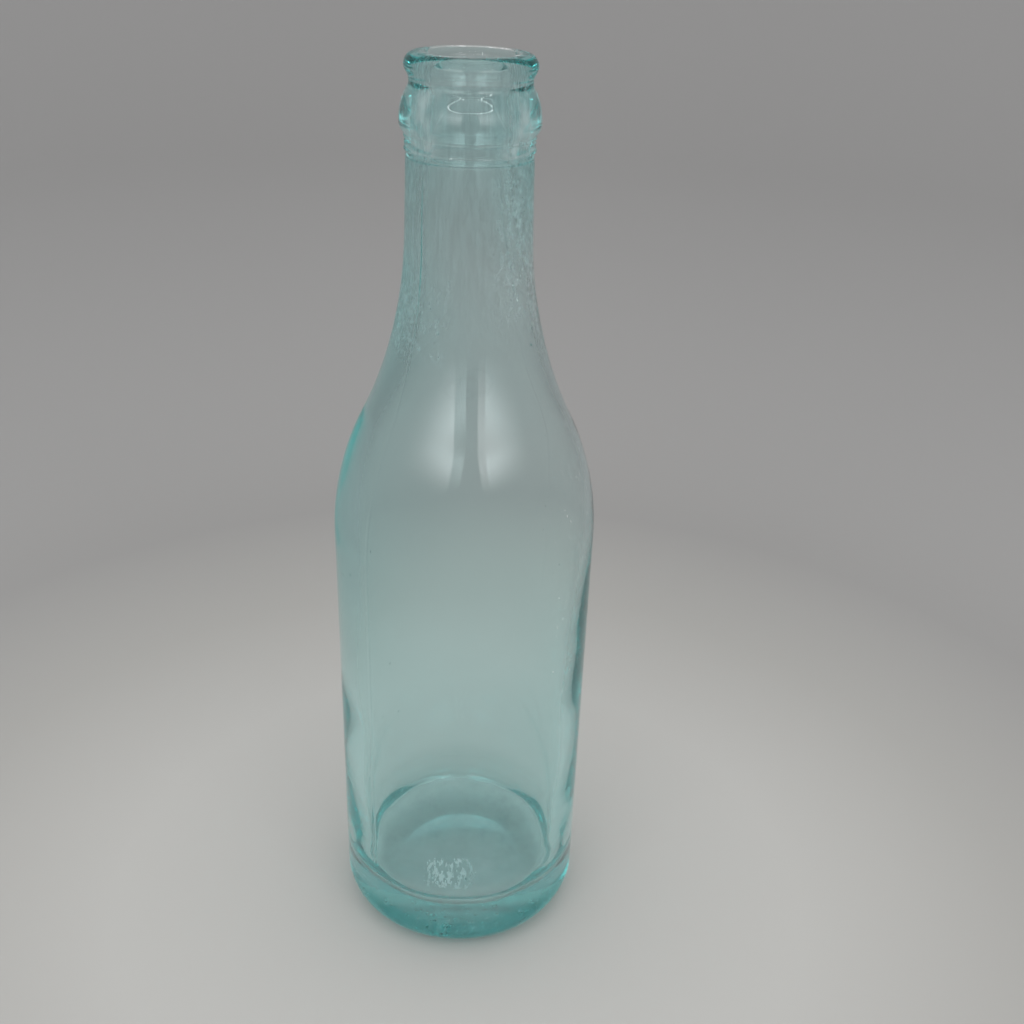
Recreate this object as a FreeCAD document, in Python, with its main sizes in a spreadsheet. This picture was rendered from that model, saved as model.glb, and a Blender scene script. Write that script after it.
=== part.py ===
import FreeCAD, Part
import math
import os
import Sketcher
from FreeCAD import Vector

# Crown-top soda bottle: one piece of moulded aqua glass, standing on its base ring.
# Origin on the axis at the bottom, +Z up through the mouth, millimetres.

doc = FreeCAD.newDocument("SodaBottle")

# Driving dimensions. The five heights stand on one another and add up to the whole bottle.
sizes = {
    "body_height": 104.3,
    "shoulder_height": 67.9,
    "neck_height": 17.6,
    "collar_height": 5.4,
    "lip_height": 13.1,
    "body_diameter": 59.7,
    "side_draft": 0.55,
    "heel_radius": 8.5,
    "ring_width": 2.8,
    "push_up_depth": 2.8,
    "shoulder_radius": 62.0,
    "neck_foot_diameter": 26.9,
    "neck_diameter": 26.1,
    "bead_diameter": 26.6,
    "bead_radius": 2.3,
    "groove_depth": 0.95,
    "groove_radius": 2.8,
    "collar_overhang": 1.05,
    "collar_ledge": 1.1,
    "collar_under_radius": 2.6,
    "collar_root_radius": 0.8,
    "mouth_bore": 15.8,
    "bore_length": 18.0,
    "lip_radius": 1.6,
    "taper_drop": 10.0,
    "taper_wall": 2.7,
    "wall": 3.4,
    "heel_wall": 4.8,
    "floor_height": 10.0,
    "floor_radius": 120.0,
    "inner_heel_radius": 6.0,
}

# Places that several sections share, each worked out from the sheet
shoulder_top_place = "Sizes.body_height + Sizes.shoulder_height"
finish_foot_place = f"{shoulder_top_place} + Sizes.neck_height"
collar_place = f"{finish_foot_place} + Sizes.collar_height"
top_place = f"{collar_place} + Sizes.lip_height"
heel_half = "Sizes.body_diameter / 2 - Sizes.side_draft"
collar_half = "Sizes.bead_diameter / 2 + Sizes.collar_overhang"

sheet = doc.addObject("Spreadsheet::Sheet", "Sizes")
for row, (alias, value) in enumerate(sizes.items(), start=1):
    sheet.set(f"A{row}", alias)
    sheet.set(f"B{row}", str(value))
    sheet.setAlias(f"B{row}", alias)
doc.recompute()


def size(alias):
    return float(sheet.get(alias))


def place(formula):
    return float(sheet.evalExpression(formula))


# Sketch helpers: the drawn start of every curve is close to its solved place,
# and the constraints, bound to the sheet, then set it exactly.
origin, start, end, centre = 1, 1, 2, 3
axes, upright = -1, -2


def section_sketch(body, name):
    planes = {feature.Role: feature for feature in body.Origin.OriginFeatures}
    sketch = body.newObject("Sketcher::SketchObject", name)
    sketch.AttachmentSupport = [(planes["XZ_Plane"], "")]
    sketch.MapMode = "FlatFace"
    return sketch


def line(sketch, first, last):
    return sketch.addGeometry(Part.LineSegment(Vector(*first, 0), Vector(*last, 0)), False)


def arc(sketch, middle, radius, first, last):
    # Counter-clockwise from the first point to the last, about the middle
    circle = Part.Circle(Vector(*middle, 0), Vector(0, 0, 1), radius)
    angles = [math.atan2(point[1] - middle[1], point[0] - middle[0]) for point in (first, last)]
    if angles[1] <= angles[0]:
        angles[1] += 2 * math.pi
    return sketch.addGeometry(Part.ArcOfCircle(circle, *angles), False)


def joined(sketch, *pairs):
    for pair in pairs:
        sketch.addConstraint(Sketcher.Constraint("Coincident", *pair))


def smooth(sketch, *pairs):
    for pair in pairs:
        sketch.addConstraint(Sketcher.Constraint("Tangent", *pair))


def driven(sketch, kind, where, name, formula):
    # A dimension that starts at its drawn value and follows the sheet
    index = sketch.addConstraint(Sketcher.Constraint(kind, *where))
    sketch.renameConstraint(index, name)
    sketch.setExpression(f"Constraints.{name}", formula)


def across(sketch, geometry, point, name, formula):
    drawn = sketch.getPoint(geometry, point).x
    driven(sketch, "DistanceX", (axes, origin, geometry, point, drawn), name, formula)


def up(sketch, geometry, point, name, formula):
    drawn = sketch.getPoint(geometry, point).y
    driven(sketch, "DistanceY", (axes, origin, geometry, point, drawn), name, formula)


def rounded(sketch, geometry, name, formula):
    drawn = sketch.Geometry[geometry].Radius
    driven(sketch, "Radius", (geometry, drawn), name, formula)


def turned(body, kind, sketch, name):
    feature = body.newObject(f"PartDesign::{kind}", name)
    feature.Profile = sketch
    feature.ReferenceAxis = (sketch, ["V_Axis"])
    feature.Angle = 360.0
    doc.recompute()
    return feature


def toward(first, last, distance):
    # The point at a distance from the first, on the way to the last
    length = math.dist(first, last)
    return tuple(a + (b - a) * distance / length for a, b in zip(first, last))


def below(middle, reach, side_r):
    # The point at a reach from the middle, lower down and at a given distance from the axis
    return (side_r, middle[1] - math.sqrt(reach ** 2 - (side_r - middle[0]) ** 2))


def touching_radius(rim, middle, radius):
    # Radius of the round curve that is upright at a rim point and runs into a hollow curve
    # of the given middle and radius
    gap = (middle[0] - rim[0], middle[1] - rim[1])
    return (gap[0] ** 2 + gap[1] ** 2 - radius ** 2) / (2 * (radius - gap[0]))


def ogee_flare(middle, radius, foot, lean):
    # Radius and middle of the hollow curve that leaves a foot point at a lean from upright
    # and meets, in one smooth S, the round curve of the given middle and radius
    normal = (math.cos(lean), math.sin(lean))
    gap = (foot[0] - middle[0], foot[1] - middle[1])
    along = gap[0] * normal[0] + gap[1] * normal[1]
    hollow_round = (gap[0] ** 2 + gap[1] ** 2 - radius ** 2) / (2 * (radius - along))
    return hollow_round, (foot[0] + hollow_round * normal[0], foot[1] + hollow_round * normal[1])


bottle = doc.addObject("PartDesign::Body", "Bottle")
bottle.Label = "bottle"

top = place(top_place)
collar_z = place(collar_place)
finish_foot = place(finish_foot_place)
shoulder_top = place(shoulder_top_place)
body_top = size("body_height")
heel_r = place(heel_half)
collar_r = place(collar_half)
body_r = size("body_diameter") / 2
neck_foot_r = size("neck_foot_diameter") / 2
neck_r = size("neck_diameter") / 2

# Outside of the body: heel, straight side, round shoulder, hollow flare and neck
heel_round = size("heel_radius")
shoulder_round = size("shoulder_radius")
heel_middle = (heel_r - heel_round, heel_round)
shoulder_middle = (body_r - shoulder_round, body_top)
flare_top = (neck_foot_r, shoulder_top)
neck_lean = math.atan2(neck_foot_r - neck_r, finish_foot - shoulder_top)
flare_round, flare_middle = ogee_flare(shoulder_middle, shoulder_round, flare_top, neck_lean)
turn_point = toward(shoulder_middle, flare_middle, shoulder_round)

outside = section_sketch(bottle, "OutsideSection")
base = line(outside, (0, 0), (heel_middle[0], 0))
heel = arc(outside, heel_middle, heel_round, (heel_middle[0], 0), (heel_r, heel_round))
side = line(outside, (heel_r, heel_round), (body_r, body_top))
shoulder = arc(outside, shoulder_middle, shoulder_round, (body_r, body_top), turn_point)
flare = arc(outside, flare_middle, flare_round, flare_top, turn_point)
neck = line(outside, flare_top, (neck_r, finish_foot))
neck_end = line(outside, (neck_r, finish_foot), (0, finish_foot))
axis = line(outside, (0, finish_foot), (0, 0))
joined(outside, (axes, origin, base, start), (neck, end, neck_end, start))
joined(outside, (neck_end, end, axis, start), (axis, end, base, start))
smooth(outside, (base, end, heel, start), (heel, end, side, start), (side, end, shoulder, start))
smooth(outside, (shoulder, end, flare, end), (flare, start, neck, start))
outside.addConstraint(Sketcher.Constraint("Horizontal", base))
outside.addConstraint(Sketcher.Constraint("Horizontal", neck_end))
outside.addConstraint(Sketcher.Constraint("Vertical", axis))
rounded(outside, heel, "heel_radius", "Sizes.heel_radius")
across(outside, heel, centre, "heel_middle", f"{heel_half} - Sizes.heel_radius")
across(outside, side, end, "body_half", "Sizes.body_diameter / 2")
up(outside, side, end, "body_height", "Sizes.body_height")
rounded(outside, shoulder, "shoulder_radius", "Sizes.shoulder_radius")
across(outside, neck, start, "neck_foot_half", "Sizes.neck_foot_diameter / 2")
across(outside, neck, end, "neck_half", "Sizes.neck_diameter / 2")
up(outside, neck, start, "shoulder_top", shoulder_top_place)
up(outside, neck, end, "finish_foot", finish_foot_place)
turned(bottle, "Revolution", outside, "BodyAndNeck")

# Crown finish: parting band, collar, locking groove and the bead that a crown cap grips.
# Its curves run into one another, so the groove's height and the collar's crown follow from the rest.
bead_r = size("bead_diameter") / 2
bead_round = size("bead_radius")
groove_round = size("groove_radius")
under_round = size("collar_under_radius")
root_round = size("collar_root_radius")
band_r = collar_r - size("collar_ledge")
widest = (collar_r, collar_z)
bead_middle = (bead_r - bead_round, top - bead_round)
groove_x = bead_r - size("groove_depth") + groove_round
groove_middle = below(bead_middle, bead_round + groove_round, groove_x)
crown_round = touching_radius(widest, groove_middle, groove_round)
crown_middle = (collar_r - crown_round, collar_z)
under_middle = (collar_r - under_round, collar_z)
root_middle = below(under_middle, under_round + root_round, band_r + root_round)
bead_to_groove = toward(bead_middle, groove_middle, bead_round)
groove_to_crown = toward(groove_middle, crown_middle, groove_round)
under_to_root = toward(under_middle, root_middle, under_round)

finish = section_sketch(bottle, "FinishSection")
foot = line(finish, (0, finish_foot), (band_r, finish_foot))
band = line(finish, (band_r, finish_foot), (band_r, root_middle[1]))
root = arc(finish, root_middle, root_round, under_to_root, (band_r, root_middle[1]))
under = arc(finish, under_middle, under_round, under_to_root, widest)
crown = arc(finish, crown_middle, crown_round, widest, groove_to_crown)
groove = arc(finish, groove_middle, groove_round, bead_to_groove, groove_to_crown)
bead = arc(finish, bead_middle, bead_round, bead_to_groove, (bead_middle[0], top))
lip = line(finish, (bead_middle[0], top), (0, top))
axis = line(finish, (0, top), (0, finish_foot))
joined(finish, (foot, end, band, start), (lip, end, axis, start), (axis, end, foot, start))
smooth(finish, (band, end, root, end), (root, start, under, start), (under, end, crown, start))
smooth(finish, (crown, end, groove, end), (groove, start, bead, start), (bead, end, lip, start))
finish.addConstraint(Sketcher.Constraint("PointOnObject", axis, start, upright))
finish.addConstraint(Sketcher.Constraint("Vertical", axis))
finish.addConstraint(Sketcher.Constraint("Horizontal", foot))
finish.addConstraint(Sketcher.Constraint("Vertical", band))
finish.addConstraint(Sketcher.Constraint("Horizontal", lip))
finish.addConstraint(Sketcher.Constraint("Horizontal", under, centre, under, end))
across(finish, band, start, "band_half", f"{collar_half} - Sizes.collar_ledge")
up(finish, band, start, "finish_foot", finish_foot_place)
rounded(finish, root, "root_radius", "Sizes.collar_root_radius")
rounded(finish, under, "under_radius", "Sizes.collar_under_radius")
across(finish, under, end, "collar_half", collar_half)
up(finish, under, end, "collar_place", collar_place)
rounded(finish, groove, "groove_radius", "Sizes.groove_radius")
groove_formula = "Sizes.bead_diameter / 2 - Sizes.groove_depth + Sizes.groove_radius"
across(finish, groove, centre, "groove_middle", groove_formula)
rounded(finish, bead, "bead_radius", "Sizes.bead_radius")
across(finish, bead, centre, "bead_middle", "Sizes.bead_diameter / 2 - Sizes.bead_radius")
up(finish, bead, end, "top", top_place)
turned(bottle, "Revolution", finish, "CrownFinish")
solid_volume = bottle.Shape.Volume

# Blown hollow: dished floor, a wall that thins from the heel up to the shoulder, tapering neck
# and straight mouth bore
wall = size("wall")
heel_wall = size("heel_wall")
bore_r = size("mouth_bore") / 2
lip_round = size("lip_radius")
floor_z = size("floor_height")
floor_round = size("floor_radius")
corner_round = size("inner_heel_radius")
bore_foot = top - size("bore_length")
taper_foot = (neck_foot_r - size("taper_wall"), shoulder_top - size("taper_drop"))
taper_lean = math.atan2(taper_foot[0] - bore_r, bore_foot - taper_foot[1])
floor_middle = (0.0, floor_z + floor_round)
corner_x = heel_r - heel_wall - corner_round
corner_reach = floor_round - corner_round
corner_middle = (corner_x, floor_middle[1] - math.sqrt(corner_reach ** 2 - corner_x ** 2))
floor_to_corner = toward(floor_middle, corner_middle, floor_round)
inner_round = shoulder_round - wall
inner_middle = (body_r - wall - inner_round, body_top)
inner_flare_round, inner_flare_middle = ogee_flare(inner_middle, inner_round, taper_foot, taper_lean)
inner_turn = toward(inner_middle, inner_flare_middle, inner_round)
wall_foot = (heel_r - heel_wall, corner_middle[1])
wall_top = (body_r - wall, body_top)
lip_middle = (bore_r + lip_round, top - lip_round)

hollow = section_sketch(bottle, "HollowSection")
floor = arc(hollow, floor_middle, floor_round, (0, floor_z), floor_to_corner)
corner = arc(hollow, corner_middle, corner_round, floor_to_corner, wall_foot)
inner_side = line(hollow, wall_foot, wall_top)
inner_shoulder = arc(hollow, inner_middle, inner_round, wall_top, inner_turn)
inner_flare = arc(hollow, inner_flare_middle, inner_flare_round, taper_foot, inner_turn)
inner_neck = line(hollow, taper_foot, (bore_r, bore_foot))
bore = line(hollow, (bore_r, bore_foot), (bore_r, lip_middle[1]))
inner_lip = arc(hollow, lip_middle, lip_round, (lip_middle[0], top), (bore_r, lip_middle[1]))
mouth = line(hollow, (lip_middle[0], top), (0, top))
axis = line(hollow, (0, top), (0, floor_z))
joined(hollow, (inner_neck, end, bore, start), (mouth, end, axis, start), (axis, end, floor, start))
smooth(hollow, (floor, end, corner, start), (corner, end, inner_side, start))
smooth(hollow, (inner_side, end, inner_shoulder, start), (inner_shoulder, end, inner_flare, end))
smooth(hollow, (inner_flare, start, inner_neck, start), (bore, end, inner_lip, end))
smooth(hollow, (inner_lip, start, mouth, start))
hollow.addConstraint(Sketcher.Constraint("PointOnObject", axis, start, upright))
hollow.addConstraint(Sketcher.Constraint("PointOnObject", floor, centre, upright))
hollow.addConstraint(Sketcher.Constraint("Vertical", axis))
hollow.addConstraint(Sketcher.Constraint("Vertical", bore))
hollow.addConstraint(Sketcher.Constraint("Horizontal", mouth))
up(hollow, floor, start, "floor_height", "Sizes.floor_height")
rounded(hollow, floor, "floor_radius", "Sizes.floor_radius")
rounded(hollow, corner, "corner_radius", "Sizes.inner_heel_radius")
across(hollow, corner, centre, "corner_middle", f"{heel_half} - Sizes.heel_wall - Sizes.inner_heel_radius")
across(hollow, inner_side, end, "wall_half", "Sizes.body_diameter / 2 - Sizes.wall")
up(hollow, inner_side, end, "body_height", "Sizes.body_height")
rounded(hollow, inner_shoulder, "inner_shoulder_radius", "Sizes.shoulder_radius - Sizes.wall")
across(hollow, inner_neck, start, "taper_half", "Sizes.neck_foot_diameter / 2 - Sizes.taper_wall")
up(hollow, inner_neck, start, "taper_foot", f"{shoulder_top_place} - Sizes.taper_drop")
across(hollow, bore, start, "bore_half", "Sizes.mouth_bore / 2")
up(hollow, bore, start, "bore_foot", f"{top_place} - Sizes.bore_length")
rounded(hollow, inner_lip, "lip_radius", "Sizes.lip_radius")
up(hollow, mouth, start, "top", top_place)
turned(bottle, "Groove", hollow, "Hollow")
hollow_volume = bottle.Shape.Volume

# Push-up: the shallow dome under the base that leaves a flat ring to stand on
push_half = f"{heel_half} - Sizes.heel_radius - Sizes.ring_width"
push_r = place(push_half)
push_z = size("push_up_depth")
dome_round = (push_r ** 2 + push_z ** 2) / (2 * push_z)
dome_middle = (0.0, push_z - dome_round)

push_up = section_sketch(bottle, "PushUpSection")
ring = line(push_up, (0, 0), (push_r, 0))
dome = arc(push_up, dome_middle, dome_round, (push_r, 0), (0, push_z))
axis = line(push_up, (0, push_z), (0, 0))
joined(push_up, (axes, origin, ring, start), (ring, end, dome, start), (dome, end, axis, start))
joined(push_up, (axis, end, ring, start))
push_up.addConstraint(Sketcher.Constraint("Horizontal", ring))
push_up.addConstraint(Sketcher.Constraint("Vertical", axis))
push_up.addConstraint(Sketcher.Constraint("PointOnObject", dome, centre, upright))
across(push_up, ring, end, "push_up_half", push_half)
up(push_up, dome, end, "push_up_depth", "Sizes.push_up_depth")
turned(bottle, "Groove", push_up, "PushUp")

# Nothing is written unless every feature solved, every cut took glass away and the solid is sound
for item in doc.Objects:
    if "Invalid" in item.State or "Error" in item.State:
        raise RuntimeError(f"{item.Name} did not compute: {item.State}")
if not solid_volume > hollow_volume > bottle.Shape.Volume:
    raise RuntimeError("a cut removed nothing")
if bottle.Shape.isNull() or not bottle.Shape.isValid() or len(bottle.Shape.Solids) != 1:
    raise RuntimeError("the bottle is not one sound solid")

os.makedirs("parts", exist_ok=True)
bottle.Shape.exportStep(f"parts/{bottle.Label}.step")
box = bottle.Shape.optimalBoundingBox()
print(f"bottle {box.XLength:.2f} x {box.YLength:.2f} x {box.ZLength:.2f} mm")
room = solid_volume - hollow_volume
print(f"glass {bottle.Shape.Volume / 1000:.1f} ml, room inside {room / 1000:.1f} ml")
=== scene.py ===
import math
import random

import bmesh
import bpy
from mathutils import Matrix, Vector, noise


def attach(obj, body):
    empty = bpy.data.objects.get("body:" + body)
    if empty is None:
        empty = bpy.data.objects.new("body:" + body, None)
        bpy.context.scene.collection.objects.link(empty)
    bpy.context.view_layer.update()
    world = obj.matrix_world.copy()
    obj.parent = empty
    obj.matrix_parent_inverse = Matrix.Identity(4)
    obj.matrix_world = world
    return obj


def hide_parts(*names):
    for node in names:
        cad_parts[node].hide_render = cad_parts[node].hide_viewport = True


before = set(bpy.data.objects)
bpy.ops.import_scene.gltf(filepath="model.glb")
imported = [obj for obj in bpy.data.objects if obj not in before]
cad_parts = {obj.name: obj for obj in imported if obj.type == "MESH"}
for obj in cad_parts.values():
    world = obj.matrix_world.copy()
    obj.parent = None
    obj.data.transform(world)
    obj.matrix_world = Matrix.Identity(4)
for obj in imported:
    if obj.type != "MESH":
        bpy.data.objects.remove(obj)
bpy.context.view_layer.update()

mm = 0.001  # sizes below are millimetres, Blender's unit is the metre
scene = bpy.context.scene
scene.view_settings.view_transform = "Standard"
wallBounces = 64  # a look along the wall is thrown back and forth inside the glass many times
scene.cycles.max_bounces = wallBounces
scene.cycles.transmission_bounces = wallBounces
scene.cycles.glossy_bounces = wallBounces


# Small helpers

def linear(hexColour, alpha=1.0):  # sRGB hex to Blender's linear colour
    parts = [int(hexColour[i:i + 2], 16) / 255 for i in (1, 3, 5)]
    return (*[p / 12.92 if p <= 0.04045 else ((p + 0.055) / 1.055) ** 2.4 for p in parts], alpha)


def addNode(tree, kind, inputs=None, **settings):  # an input takes a value, a socket or a node's first output
    node = tree.nodes.new(kind)
    for name, value in settings.items():
        setattr(node, name, value)
    for socket, value in (inputs or {}).items():
        if isinstance(value, bpy.types.Node):
            value = value.outputs[0]
        if isinstance(value, bpy.types.NodeSocket):
            tree.links.new(value, node.inputs[socket])
        else:
            node.inputs[socket].default_value = value
    return node


def newMaterial(name):
    material = bpy.data.materials.new(name)
    material.use_nodes = True
    material.node_tree.nodes.clear()
    return material


def meshObject(name, bm, material):
    mesh = bpy.data.meshes.new(name)
    bm.to_mesh(mesh)
    bm.free()
    mesh.shade_smooth()
    mesh.materials.append(material)
    made = bpy.data.objects.new(name, mesh)
    scene.collection.objects.link(made)
    return made


def eased(value, low, high):  # 0 below low, 1 above high, smooth between
    share = min(max((value - low) / (high - low), 0.0), 1.0)
    return share * share * (3 - 2 * share)


# The bottle's section, in the same sizes as the solid

bottleSizes = {
    "bodyHeight": 104.3,
    "shoulderHeight": 67.9,
    "neckHeight": 17.6,
    "collarHeight": 5.4,
    "lipHeight": 13.1,
    "bodyDiameter": 59.7,
    "sideDraft": 0.55,
    "heelRadius": 8.5,
    "ringWidth": 2.8,
    "pushUpDepth": 2.8,
    "shoulderRadius": 62.0,
    "neckFootDiameter": 26.9,
    "neckDiameter": 26.1,
    "beadDiameter": 26.6,
    "beadRadius": 2.3,
    "grooveDepth": 0.95,
    "grooveRadius": 2.8,
    "collarOverhang": 1.05,
    "collarLedge": 1.1,
    "collarUnderRadius": 2.6,
    "collarRootRadius": 0.8,
    "mouthBore": 15.8,
    "boreLength": 18.0,
    "lipRadius": 1.6,
    "taperDrop": 10.0,
    "taperWall": 2.7,
    "wall": 3.4,
    "heelWall": 4.8,
    "floorHeight": 10.0,
    "floorRadius": 120.0,
    "innerHeelRadius": 6.0,
}

sectionMesh = {
    "bodyPitch": 1.7,  # spacing of the rings up the body
    "finishPitch": 0.5,  # and round the finish's small curves
    "seamAzimuth": 225.0,  # the mould's joint, left of the front, and its twin behind
    "seamZone": 2.6,  # degrees each side of a joint that get fine columns
    "seamSteps": 10,
    "fieldSteps": 104,  # columns in each half between the joints
    "mergeReach": 0.001,  # points on the axis and at the last column's end fall together within this
}


def point(x, z):
    return Vector((x, z))


def toward(first, last, distance):
    return first + (last - first).normalized() * distance


def below(middle, reach, x):  # the point at a reach from the middle, lower down
    return point(x, middle.y - math.sqrt(reach ** 2 - (x - middle.x) ** 2))


def tangentLean(middle, radius, top):  # lean of the line from a top point that touches a round below
    gap = top - middle
    return math.acos(radius / gap.length) - math.atan2(gap.y, gap.x)


def ogeeFlare(middle, radius, foot, lean):  # hollow curve from a neck's foot into a round shoulder
    normal = point(math.cos(lean), math.sin(lean))
    gap = foot - middle
    hollow = (gap.length_squared - radius ** 2) / (2 * (radius - gap.dot(normal)))
    return foot + normal * hollow


def bottleRuns(s):  # runs of (end, middle of its curve or None, spacing), first outside, then inside
    body, fine = sectionMesh["bodyPitch"], sectionMesh["finishPitch"]
    shoulderTop = s["bodyHeight"] + s["shoulderHeight"]
    finishFoot = shoulderTop + s["neckHeight"]
    collarZ = finishFoot + s["collarHeight"]
    top = collarZ + s["lipHeight"]
    bodyR, heelR = s["bodyDiameter"] / 2, s["bodyDiameter"] / 2 - s["sideDraft"]
    neckR, neckFoot = s["neckDiameter"] / 2, point(s["neckFootDiameter"] / 2, shoulderTop)

    # Push-up, resting ring, heel and side
    ringIn = point(heelR - s["heelRadius"] - s["ringWidth"], 0)
    domeRound = (ringIn.x ** 2 + s["pushUpDepth"] ** 2) / (2 * s["pushUpDepth"])
    heelMiddle = point(heelR - s["heelRadius"], s["heelRadius"])
    sideTop = point(bodyR, s["bodyHeight"])
    lean = tangentLean(heelMiddle, s["heelRadius"], sideTop)
    outward = point(math.cos(lean), -math.sin(lean))

    # Shoulder and flare
    shoulderMiddle = sideTop - outward * s["shoulderRadius"]
    neckLean = math.atan2(neckFoot.x - neckR, finishFoot - shoulderTop)
    flareMiddle = ogeeFlare(shoulderMiddle, s["shoulderRadius"], neckFoot, neckLean)

    # Crown finish
    collarR = s["beadDiameter"] / 2 + s["collarOverhang"]
    bandR = collarR - s["collarLedge"]
    beadMiddle = point(s["beadDiameter"] / 2 - s["beadRadius"], top - s["beadRadius"])
    grooveX = s["beadDiameter"] / 2 - s["grooveDepth"] + s["grooveRadius"]
    grooveMiddle = below(beadMiddle, s["beadRadius"] + s["grooveRadius"], grooveX)
    gap = grooveMiddle - point(collarR, collarZ)
    crownRound = (gap.length_squared - s["grooveRadius"] ** 2) / (2 * (s["grooveRadius"] - gap.x))
    crownMiddle = point(collarR - crownRound, collarZ)
    underMiddle = point(collarR - s["collarUnderRadius"], collarZ)
    rootReach = s["collarUnderRadius"] + s["collarRootRadius"]
    rootMiddle = below(underMiddle, rootReach, bandR + s["collarRootRadius"])

    # Hollow
    boreR, wall = s["mouthBore"] / 2, s["wall"]
    boreFoot = point(boreR, top - s["boreLength"])
    lipMiddle = point(boreR + s["lipRadius"], top - s["lipRadius"])
    taperFoot = point(neckFoot.x - s["taperWall"], shoulderTop - s["taperDrop"])
    taperLean = math.atan2(taperFoot.x - boreR, boreFoot.y - taperFoot.y)
    floorMiddle = point(0, s["floorHeight"] + s["floorRadius"])
    cornerX = heelR - s["heelWall"] - s["innerHeelRadius"]
    cornerMiddle = below(floorMiddle, s["floorRadius"] - s["innerHeelRadius"], cornerX)
    wallTop = point(bodyR - wall, s["bodyHeight"])
    innerLean = tangentLean(cornerMiddle, s["innerHeelRadius"], wallTop)
    innerOutward = point(math.cos(innerLean), -math.sin(innerLean))
    innerRound = s["shoulderRadius"] - wall
    innerMiddle = wallTop - innerOutward * innerRound
    innerFlareMiddle = ogeeFlare(innerMiddle, innerRound, taperFoot, taperLean)

    outside = [
        (ringIn, point(0, s["pushUpDepth"] - domeRound), body),
        (point(heelMiddle.x, 0), None, body),
        (heelMiddle + outward * s["heelRadius"], heelMiddle, body / 2),
        (sideTop, None, body),
        (toward(shoulderMiddle, flareMiddle, s["shoulderRadius"]), shoulderMiddle, body),
        (neckFoot, flareMiddle, body),
        (point(neckR, finishFoot), None, body),
        (point(bandR, finishFoot), None, fine),
        (point(bandR, rootMiddle.y), None, fine / 4),
        (toward(underMiddle, rootMiddle, s["collarUnderRadius"]), rootMiddle, fine / 2),
        (point(collarR, collarZ), underMiddle, fine),
        (toward(grooveMiddle, crownMiddle, s["grooveRadius"]), crownMiddle, fine),
        (toward(beadMiddle, grooveMiddle, s["beadRadius"]), grooveMiddle, fine),
        (point(beadMiddle.x, top), beadMiddle, fine),
        (point(lipMiddle.x, top), None, fine),
        (point(boreR, lipMiddle.y), lipMiddle, fine),
    ]
    inside = [
        (boreFoot, None, body),
        (taperFoot, None, body),
        (toward(innerMiddle, innerFlareMiddle, innerRound), innerFlareMiddle, body),
        (wallTop, innerMiddle, body),
        (cornerMiddle + innerOutward * s["innerHeelRadius"], None, body),
        (toward(floorMiddle, cornerMiddle, s["floorRadius"]), cornerMiddle, body / 2),
        (point(0, s["floorHeight"]), floorMiddle, body),
    ]
    return outside, inside


def drawRun(bm, tip, end, middle, pitch):  # adds one run of the section to the wire and gives its new tip
    here = point(tip.co.x, tip.co.z) / mm
    if middle is None:
        steps = max(1, round((end - here).length / pitch))
        step = (end - here) * mm / steps
        for _ in range(steps):
            tip = bmesh.ops.extrude_vert_indiv(bm, verts=[tip])["verts"][0]
            bmesh.ops.translate(bm, verts=[tip], vec=(step.x, 0, step.y))
        return tip
    angle = (here - middle).angle_signed(end - middle)  # clockwise is positive
    steps = max(2, round(abs(angle) * (end - middle).length / pitch))
    turned = bmesh.ops.spin(bm, geom=[tip], cent=(middle.x * mm, 0, middle.y * mm), axis=(0, 1, 0),
                            angle=angle, steps=steps)
    return [v for v in turned["geom_last"] if isinstance(v, bmesh.types.BMVert)][0]


def turnedBottle(s, grid):
    bm = bmesh.new()
    insideSkin = bm.verts.layers.float.new("insideSkin")
    outside, inside = bottleRuns(s)
    tip = bm.verts.new((0, 0, s["pushUpDepth"] * mm))
    for run in outside:
        tip = drawRun(bm, tip, *run)
    tip[insideSkin] = 1.0  # the wire hands this on to the rest of the hollow
    for run in inside:
        tip = drawRun(bm, tip, *run)
    print("section:", len(bm.verts), "points")

    zone, half = math.radians(2 * grid["seamZone"]), math.pi
    begin = Matrix.Rotation(math.radians(grid["seamAzimuth"] - grid["seamZone"]), 3, "Z")
    bmesh.ops.rotate(bm, verts=bm.verts[:], cent=(0, 0, 0), matrix=begin)
    wire = bm.verts[:] + bm.edges[:]
    for angle, steps in [(zone, grid["seamSteps"]), (half - zone, grid["fieldSteps"])] * 2:
        turned = bmesh.ops.spin(bm, geom=wire, cent=(0, 0, 0), axis=(0, 0, 1), angle=angle, steps=steps)
        wire = turned["geom_last"]
    bmesh.ops.remove_doubles(bm, verts=bm.verts[:], dist=grid["mergeReach"] * mm)
    bmesh.ops.recalc_face_normals(bm, faces=bm.faces[:])
    return bm, insideSkin


# What blowing and the mould leave in the glass

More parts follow.
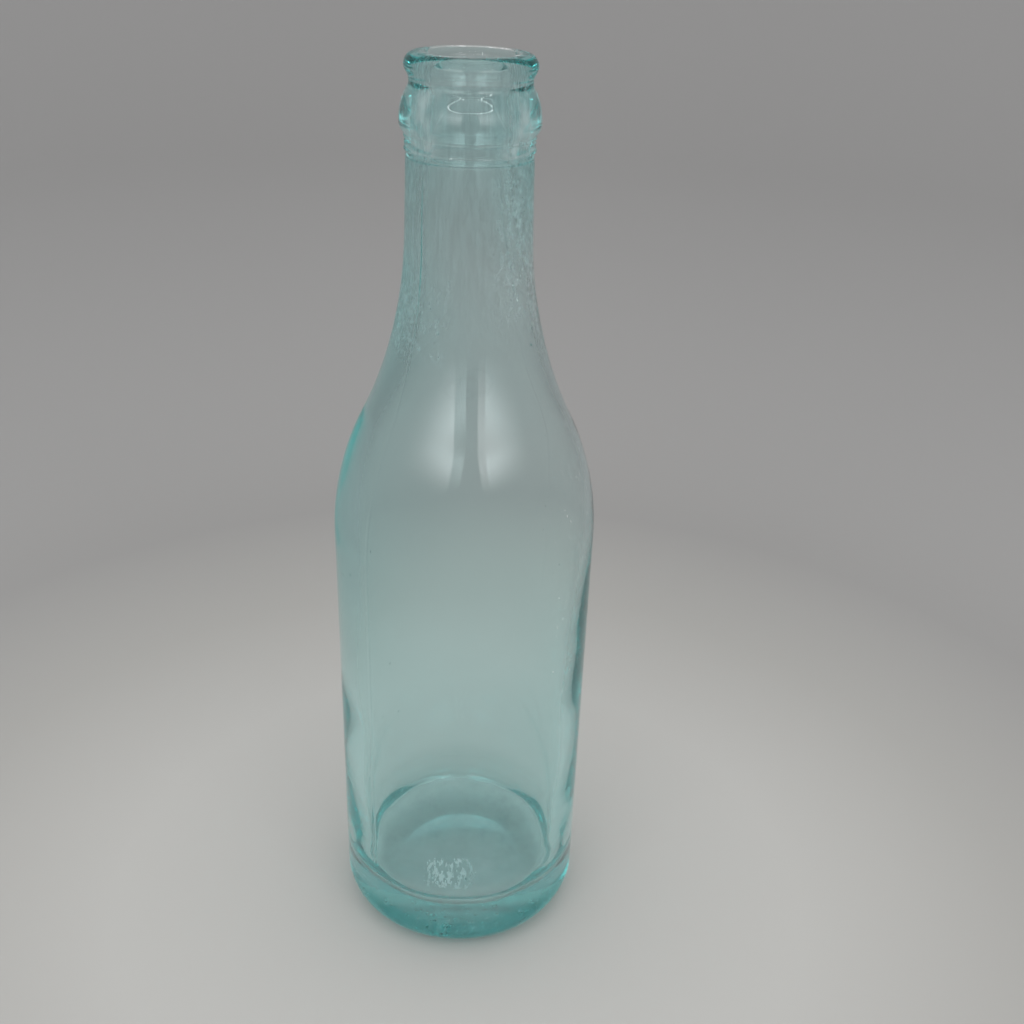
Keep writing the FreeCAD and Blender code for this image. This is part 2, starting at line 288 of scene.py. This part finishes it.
unevenGlass = {
    "wallDrift": 0.16,  # how far the hollow wanders from true round, and the span of its swells
    "wallSpan": 21.0,
    "floorDrift": 0.55,  # the floor's edge is the most uneven
    "floorSpan": 10.0,
    "floorEdge": (8.0, 21.0),  # distances from the axis over which its unevenness grows
    "floorZone": (15.0, 30.0),  # heights over which it dies out
    "boreZone": (150.0, 188.0),  # and the wall's, on the way up to the bore
    "offCentre": 1.2,  # the hollow leans to the right in the shoulder, so its left wall is thicker
    "offCentreRise": (60.0, 105.0),
    "offCentreFall": (160.0, 180.0),
    "skinDrift": 0.07,  # the outside only sinks in, so that the bottle keeps its size
    "skinSpan": 13.0,
    "jointHeight": (0.03, 0.17),  # how proud the mould's joint stands on the body and on the neck
    "jointZone": (145.0, 175.0),
    "jointReach": 1.1,  # half its width in degrees
    "skinFoot": (3.0, 7.0),  # the ring it rests on and the finish stay true
    "skinTop": (182.0, 188.0),
    "partingPlaces": (190.1, 192.6),  # the finish's mould leaves two fine ridges round the band
    "partingHeight": 0.16,
    "partingReach": 0.4,
    "floorShift": 40.0,  # floor and outside take other parts of the noise than the wall
    "skinShift": 80.0,
}

glassSeeds = {
    "draw": 11,
    "count": 14,
    "across": (0.25, 0.5),
    "depth": (0.35, 0.65),  # share of the wall
    "stretch": 1.7,  # drawn out upwards as the glass was blown
    "heights": (22.0, 165.0),
}


def swell(place, span, shift):  # smooth unevenness from -1 to 1
    return noise.noise(place / (span * mm) + Vector((shift, 0, 0)))


def settleGlass(bm, insideSkin, look, grid):
    bm.normal_update()
    joint = math.radians(grid["seamAzimuth"])
    jointBody, jointNeck = look["jointHeight"]
    for vert in bm.verts:
        height, radius = vert.co.z / mm, math.hypot(vert.co.x, vert.co.y) / mm
        if vert[insideSkin] > 0.5:
            low = (1 - eased(height, *look["floorZone"])) * eased(radius, *look["floorEdge"])
            belowBore = 1 - eased(height, *look["boreZone"])
            move = look["wallDrift"] * belowBore * swell(vert.co, look["wallSpan"], 0)
            move += look["floorDrift"] * low * swell(vert.co, look["floorSpan"], look["floorShift"])
            lean = eased(height, *look["offCentreRise"]) * (1 - eased(height, *look["offCentreFall"]))
            vert.co.x += look["offCentre"] * lean * mm
        else:
            aside = math.degrees(abs(math.remainder(math.atan2(vert.co.y, vert.co.x) - joint, math.pi)))
            proud = jointBody + (jointNeck - jointBody) * eased(height, *look["jointZone"])
            dip = 0.5 + 0.5 * swell(vert.co, look["skinSpan"], look["skinShift"])  # from 0 to 1
            move = -look["skinDrift"] * dip
            move += proud * (1 - eased(aside, 0, look["jointReach"]))
            move *= eased(height, *look["skinFoot"]) * (1 - eased(height, *look["skinTop"]))
            for ridge in look["partingPlaces"]:
                move += look["partingHeight"] * (1 - eased(abs(height - ridge), 0, look["partingReach"]))
        vert.co += vert.normal * move * mm


def scatterSeeds(bm, insideSkin, look, wall):  # small bubbles in the middle of the wall
    draw = random.Random(look["draw"])
    low, high = look["heights"]
    skin = [v for v in bm.verts if v[insideSkin] < 0.5 and low < v.co.z / mm < high]
    for spot, outward in [(v.co.copy(), v.normal.copy()) for v in draw.sample(skin, look["count"])]:
        middle = spot - outward * draw.uniform(*look["depth"]) * wall * mm
        shape = Matrix.LocRotScale(middle, None, (1, 1, look["stretch"]))
        reach = draw.uniform(*look["across"]) * mm / 2
        made = bmesh.ops.create_icosphere(bm, subdivisions=2, radius=reach, matrix=shape)
        faces = {f for v in made["verts"] for f in v.link_faces}
        bmesh.ops.reverse_faces(bm, faces=list(faces))  # the glass lies outside


# Glass

glassLook = {
    "tint": "#50F4F4",
    "tintDensity": 40.0,
    "bend": 1.52,  # soda-lime glass
    "filmColour": "#FFFFFF",  # it also tints what passes through, so it stays white; it is also the colour of the painted highlights
    "filmRoughness": 0.5,
    "markDetail": 4.0,
    "markRoughness": 0.7,
    "patterns": {  # size of the marks along X, Y and Z, and the part of the noise that is kept
        "even": ((9.0, 9.0, 9.0), -0.6, 0.7),
        "cloud": ((6.0, 6.0, 9.0), 0.3, 0.75),
        "grain": ((1.6, 1.6, 2.6), 0.42, 0.72),
        "streak": ((1.2, 1.2, 9.0), 0.35, 0.7),
        "dash": ((0.9, 2.4, 2.4), 0.5, 0.62),
        "scuff": ((1.6, 1.6, 0.8), 0.6, 0.7),
        "pit": ((0.9, 0.9, 1.1), 0.62, 0.7),
    },
    "films": {  # cover, skin, pattern, and along each axis from where it is missing to where it is full
        # dust film on the inner floor, which is partly painted light that lifts the floor and evens out the
        # shade seen under the bottle; stronger at the front middle, partly as painted sparkle
        "dustAndPaintedLightOnFloor": (0.4, "inside", "even", {"Z": [(16.0, 12.0)]}),
        "dustAndPaintedSparkleInFront": (0.2, "inside", "even", {"Z": [(16.0, 12.0)], "Y": [(6.0, -17.0)],
                                                "R": [(24.0, 10.0)]}),
        # painted sparkle: white dashes at the front middle of the inner floor stand in for a glint
        "paintedFloorSparkle": (0.8, "inside", "dash", {"Z": [(16.0, 12.0)], "X": [(4.0, 0.0), (-10.0, -5.0)],
                                             "Y": [(-4.0, -8.0), (-17.0, -13.0)]}),
        "limeInNeck": (0.16, "inside", "streak", {"Z": [(138.0, 170.0)]}),
        # a white grainy film inside the right of the neck
        "whiteGrainOnRight": (0.5, "inside", "grain", {"Z": [(150.0, 160.0), (197.0, 186.0)], "X": [(2.0, 9.0)]}),
        "limeOnLeft": (0.4, "inside", "grain", {"Z": [(146.0, 151.0), (165.0, 158.0)], "X": [(-2.0, -7.0)]}),
        "dullHeel": (0.13, "outside", "even", {"Z": [(8.0, 14.0), (24.0, 17.0)]}),  # from shelves and crates
        "heelScuffs": (0.3, "outside", "scuff", {"Z": [(14.0, 9.0)]}),
        "pitsOnRight": (0.4, "outside", "pit", {"Z": [(45.0, 75.0), (150.0, 125.0)], "X": [(13.0, 24.0)]}),
        "capWearLeft": (0.25, "outside", "cloud", {"Z": [(188.0, 191.0), (205.0, 202.0)],
                                                   "X": [(-4.0, -9.0)]}),
        "capWearRight": (0.25, "outside", "cloud", {"Z": [(188.0, 191.0), (205.0, 202.0)],
                                                    "X": [(5.0, 9.0)]}),
        # painted highlight: a broken white line round the lip's inner edge, where the lamps' reflection runs
        "paintedLipHighlight": (0.9, "outside", "cloud", {"Z": [(207.5, 208.0)], "R": [(8.8, 9.2), (10.3, 9.8)]}),
    },
}


def mouldedGlass(look):  # soda-lime glass blown in an iron mould: wet gloss, sea green where thick, with white films of dust, lime and wear and painted highlights and light
    material = newMaterial("sodaLimeGlassMoulded")
    tree = material.node_tree
    place = addNode(tree, "ShaderNodeTexCoord").outputs["Object"]
    flat = addNode(tree, "ShaderNodeVectorMath", {0: place, 1: (1, 1, 0)}, operation="MULTIPLY")
    axes = dict(addNode(tree, "ShaderNodeSeparateXYZ", {0: place}).outputs.items())
    axes["R"] = addNode(tree, "ShaderNodeVectorMath", {0: flat}, operation="LENGTH").outputs["Value"]
    inside = addNode(tree, "ShaderNodeAttribute", attribute_name="insideSkin").outputs["Fac"]
    outside = addNode(tree, "ShaderNodeMath", {0: 1.0, 1: inside}, operation="SUBTRACT").outputs[0]
    skins = {"inside": inside, "outside": outside}

    patterns = {}
    for name, (size, low, high) in look["patterns"].items():
        spread = addNode(tree, "ShaderNodeMapping", {"Vector": place, "Scale": [1 / (s * mm) for s in size]})
        marks = addNode(tree, "ShaderNodeTexNoise", {
            "Vector": spread,
            "Scale": 1.0,
            "Detail": look["markDetail"],
            "Roughness": look["markRoughness"],
        })
        patterns[name] = addNode(tree, "ShaderNodeMapRange", {
            "Value": marks,
            "From Min": low,
            "From Max": high,
        }, interpolation_type="SMOOTHSTEP")

    # the films add up: real dust, lime and wear, and painted highlights, sparkle and light on the lip and the
    # inner floor
    film = None
    for cover, skin, pattern, zones in look["films"].values():
        share = addNode(tree, "ShaderNodeMath", {0: patterns[pattern], 1: cover}, operation="MULTIPLY")
        share = addNode(tree, "ShaderNodeMath", {0: share, 1: skins[skin]}, operation="MULTIPLY")
        for axis, none, full in [(axis, *zone) for axis in zones for zone in zones[axis]]:
            fade = addNode(tree, "ShaderNodeMapRange", {
                "Value": axes[axis],
                "From Min": none * mm,
                "From Max": full * mm,
            }, interpolation_type="SMOOTHSTEP")
            share = addNode(tree, "ShaderNodeMath", {0: share, 1: fade}, operation="MULTIPLY")
        film = addNode(tree, "ShaderNodeMath", {0: film, 1: share}, operation="ADD") if film else share

    roughness = look["filmRoughness"]
    dull = addNode(tree, "ShaderNodeMath", {0: film, 1: roughness}, operation="MULTIPLY", use_clamp=True)
    clear = addNode(tree, "ShaderNodeMath", {0: 1.0, 1: film}, operation="SUBTRACT", use_clamp=True)
    shader = addNode(tree, "ShaderNodeBsdfPrincipled", {
        "Base Color": linear(look["filmColour"]),
        "IOR": look["bend"],
        "Roughness": dull,
        "Transmission Weight": clear,
    })
    depth = addNode(tree, "ShaderNodeVolumeAbsorption", {
        "Color": linear(look["tint"]),
        "Density": look["tintDensity"],
    })
    addNode(tree, "ShaderNodeOutputMaterial", {"Surface": shader, "Volume": depth})
    return material


bm, insideSkin = turnedBottle(bottleSizes, sectionMesh)
settleGlass(bm, insideSkin, unevenGlass, sectionMesh)
scatterSeeds(bm, insideSkin, glassSeeds, bottleSizes["wall"])
bottle = meshObject("bottleGlass", bm, mouldedGlass(glassLook))
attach(bottle, "root")
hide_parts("bottle")
print("bottle:", len(bottle.data.polygons), "faces")


# Floor, light and camera

stageLook = {
    "floorReach": 1500.0,
    "coveFoot": 240.0,  # the paper turns up all round, past every camera
    "coveRadius": 120.0,
    "wallTop": 700.0,
    "floorDrop": 0.2,  # the floor lies this far under the glass, so that the two faces don't share a plane
    # painted pool of light: the paper is lightest round the bottle, darker further out, a little lighter
    # again up the wall
    "paperPaintedLightPool": [(0, "#C3C2BF"), (90, "#C1C0BD"), (150, "#B0AFAC"), (220, "#A1A09F"), (400, "#A9A8A8")],
    "paperRoughness": 0.9,
    "roundSteps": 128,
    "covePitch": 10.0,
    "wallPitch": 100.0,
    "roomColour": "#808080",  # what the glass sees over the paper
    "fillLevel": 0.84,
}

lampSetting = {
    "ringPlace": (0.0, -203.0, 329.0),  # long ring of small bulbs over the camera, facing the finish
    "ringAim": (0.0, -14.0, 200.0),
    "ringReach": (160.0, 48.0),  # half its width and half its height
    "bulbs": 44,
    "bulbAcross": 8.0,
    "bulbPower": 0.0027,
    "panelPlace": (201.0, -225.0, 262.0),  # a soft panel each side of the camera
    "panelAim": (0.0, 0.0, 130.0),
    "panelSize": (340.0, 170.0),
    "panelPower": 0.55,
    "panelFades": [(0.0, 0.95), (1.0, 0.95), (0.0, 0.6), (1.0, 0.5)],  # outer, inner, lower and upper edge
}


def mattPaper(look):  # matt paper: no gloss, with a painted pool of light: a pale grey that darkens away from the bottle and lightens a little again up the wall
    material = newMaterial("mattPaper")
    tree = material.node_tree
    far = look["paperPaintedLightPool"][-1][0]
    place = addNode(tree, "ShaderNodeTexCoord")
    reach = addNode(tree, "ShaderNodeVectorMath", {0: place.outputs["Object"]}, operation="LENGTH")
    share = addNode(tree, "ShaderNodeMath", {0: reach.outputs["Value"], 1: far * mm}, operation="DIVIDE")
    # the painted pool of light, by distance from the middle
    paintedLightPool = addNode(tree, "ShaderNodeValToRGB", {0: share})
    for distance, colour in look["paperPaintedLightPool"]:
        stops = paintedLightPool.color_ramp.elements
        stop = stops[0] if distance == 0 else stops[-1] if distance == far else stops.new(distance / far)
        stop.color = linear(colour)
    paper = addNode(tree, "ShaderNodeBsdfPrincipled", {
        "Base Color": paintedLightPool,
        "Roughness": look["paperRoughness"],
        "Specular IOR Level": 0.0,
    })
    addNode(tree, "ShaderNodeOutputMaterial", {"Surface": paper})
    return material, paper


def thinPaper(look):  # the same paper and painted light for the wall, which the fill light comes through
    material, paper = mattPaper(look)
    tree = material.node_tree
    path = addNode(tree, "ShaderNodeLightPath").outputs
    bounced = addNode(tree, "ShaderNodeMath", {0: path["Diffuse Depth"], 1: 0.5}, operation="GREATER_THAN")
    clear = addNode(tree, "ShaderNodeBsdfTransparent")
    mix = addNode(tree, "ShaderNodeMixShader", {0: bounced, 1: paper, 2: clear})
    tree.links.new(mix.outputs[0], tree.nodes["Material Output"].inputs["Surface"])
    return material


def paperSweep(look):
    drop = -look["floorDrop"] * mm
    bm = bmesh.new()
    bmesh.ops.create_circle(bm, cap_ends=True, segments=look["roundSteps"], radius=look["floorReach"] * mm,
                            matrix=Matrix.Translation((0, 0, drop)))
    meshObject("floor", bm, mattPaper(look)[0])
    bm = bmesh.new()
    tip = bm.verts.new((look["coveFoot"] * mm, 0, drop))
    cove, edge = look["coveRadius"], point(look["coveFoot"], -look["floorDrop"])
    tip = drawRun(bm, tip, edge + point(cove, cove), edge + point(0, cove), look["covePitch"])
    drawRun(bm, tip, point(edge.x + cove, look["wallTop"]), None, look["wallPitch"])
    bmesh.ops.spin(bm, geom=bm.verts[:] + bm.edges[:], cent=(0, 0, 0), axis=(0, 0, 1), angle=2 * math.pi,
                   steps=look["roundSteps"], use_merge=True)
    bmesh.ops.recalc_face_normals(bm, faces=bm.faces[:])
    wall = meshObject("paperWall", bm, thinPaper(look))
    wall.visible_shadow = wall.visible_diffuse = False


def roomLight(look):  # even fill for matt things, a plain grey for what the camera and the glass see
    scene.world = bpy.data.worlds.new("room")
    scene.world.use_nodes = True
    tree = scene.world.node_tree
    tree.nodes.clear()
    path = addNode(tree, "ShaderNodeLightPath").outputs
    direct = addNode(tree, "ShaderNodeMath", {0: path["Diffuse Depth"], 1: 0.5}, operation="LESS_THAN")
    clear = addNode(tree, "ShaderNodeMath", {
        0: path["Is Glossy Ray"],
        1: path["Is Transmission Ray"],
    }, operation="MAXIMUM")
    throughGlass = addNode(tree, "ShaderNodeMath", {0: clear, 1: direct}, operation="MULTIPLY")
    seen = addNode(tree, "ShaderNodeMath", {0: path["Is Camera Ray"], 1: throughGlass}, operation="MAXIMUM")
    fill = addNode(tree, "ShaderNodeBackground", {"Color": (1, 1, 1, 1), "Strength": look["fillLevel"]})
    room = addNode(tree, "ShaderNodeBackground", {"Color": linear(look["roomColour"]), "Strength": 1.0})
    mix = addNode(tree, "ShaderNodeMixShader", {0: seen, 1: fill, 2: room})
    addNode(tree, "ShaderNodeOutputWorld", {"Surface": mix})


def addLamp(name, shape, size, power, place, turn):
    lamp = bpy.data.lights.new(name, "AREA")
    lamp.shape = shape
    lamp.size = size[0] * mm
    lamp.size_y = size[-1] * mm
    lamp.energy = power
    made = bpy.data.objects.new(name, lamp)
    made.matrix_world = Matrix.LocRotScale(place, turn, None)
    made.visible_camera = False
    scene.collection.objects.link(made)
    return lamp


def fadeEdges(lamp, fades, mirrored):  # a diffuser is brightest near its lamp, at the inner edge
    lamp.use_nodes = True
    tree = lamp.node_tree
    spot = addNode(tree, "ShaderNodeNewGeometry")
    sides = addNode(tree, "ShaderNodeSeparateXYZ", {0: spot.outputs["Parametric"]})
    flipped = addNode(tree, "ShaderNodeMath", {0: 1.0, 1: sides}, operation="SUBTRACT") if mirrored else sides
    across, upward = flipped.outputs[0], sides.outputs[1]
    glow = None
    for side, (none, full) in zip((across, across, upward, upward), fades):
        fade = addNode(tree, "ShaderNodeMapRange", {"Value": side, "From Min": none, "From Max": full},
                       interpolation_type="SMOOTHSTEP")
        glow = addNode(tree, "ShaderNodeMath", {0: glow, 1: fade}, operation="MULTIPLY") if glow else fade
    tree.links.new(glow.outputs[0], tree.nodes["Emission"].inputs["Strength"])


def studioLamps(look):
    middle, (wide, tall) = Vector(look["ringPlace"]), look["ringReach"]
    turn = (Vector(look["ringAim"]) - middle).to_track_quat("-Z", "Y")
    for index in range(look["bulbs"]):
        angle = 2 * math.pi * index / look["bulbs"]
        place = (middle + turn @ Vector((wide * math.cos(angle), tall * math.sin(angle), 0))) * mm
        addLamp("ringBulb", "DISK", (look["bulbAcross"],), look["bulbPower"], place, turn)
    for side in (-1, 1):
        place = Vector(look["panelPlace"]) * Vector((side, 1, 1)) * mm
        turn = (Vector(look["panelAim"]) * mm - place).to_track_quat("-Z", "Y")
        panel = addLamp("softPanel", "RECTANGLE", look["panelSize"], look["panelPower"], place, turn)
        fadeEdges(panel, look["panelFades"], side > 0)


cameraSetting = {
    "place": (0.0, -257.2, 238.4),
    "pitchDown": 26.81,
    "yaw": 2.42,
    "roll": 1.93,
    "lens": 43.99,
    "sensorWidth": 36.0,
}


def photoCamera(c):
    camera = bpy.data.objects.new("camera", bpy.data.cameras.new("camera"))
    camera.data.lens = c["lens"]
    camera.data.sensor_width = c["sensorWidth"]
    turn = (Matrix.Rotation(math.radians(-c["yaw"]), 4, "Z")
            @ Matrix.Rotation(math.radians(90 - c["pitchDown"]), 4, "X")
            @ Matrix.Rotation(math.radians(c["roll"]), 4, "Z"))
    camera.matrix_world = Matrix.Translation(Vector(c["place"]) * mm) @ turn
    scene.collection.objects.link(camera)
    scene.camera = camera


paperSweep(stageLook)
roomLight(stageLook)
studioLamps(lampSetting)
photoCamera(cameraSetting)
print("stage, lamps and camera are in place")
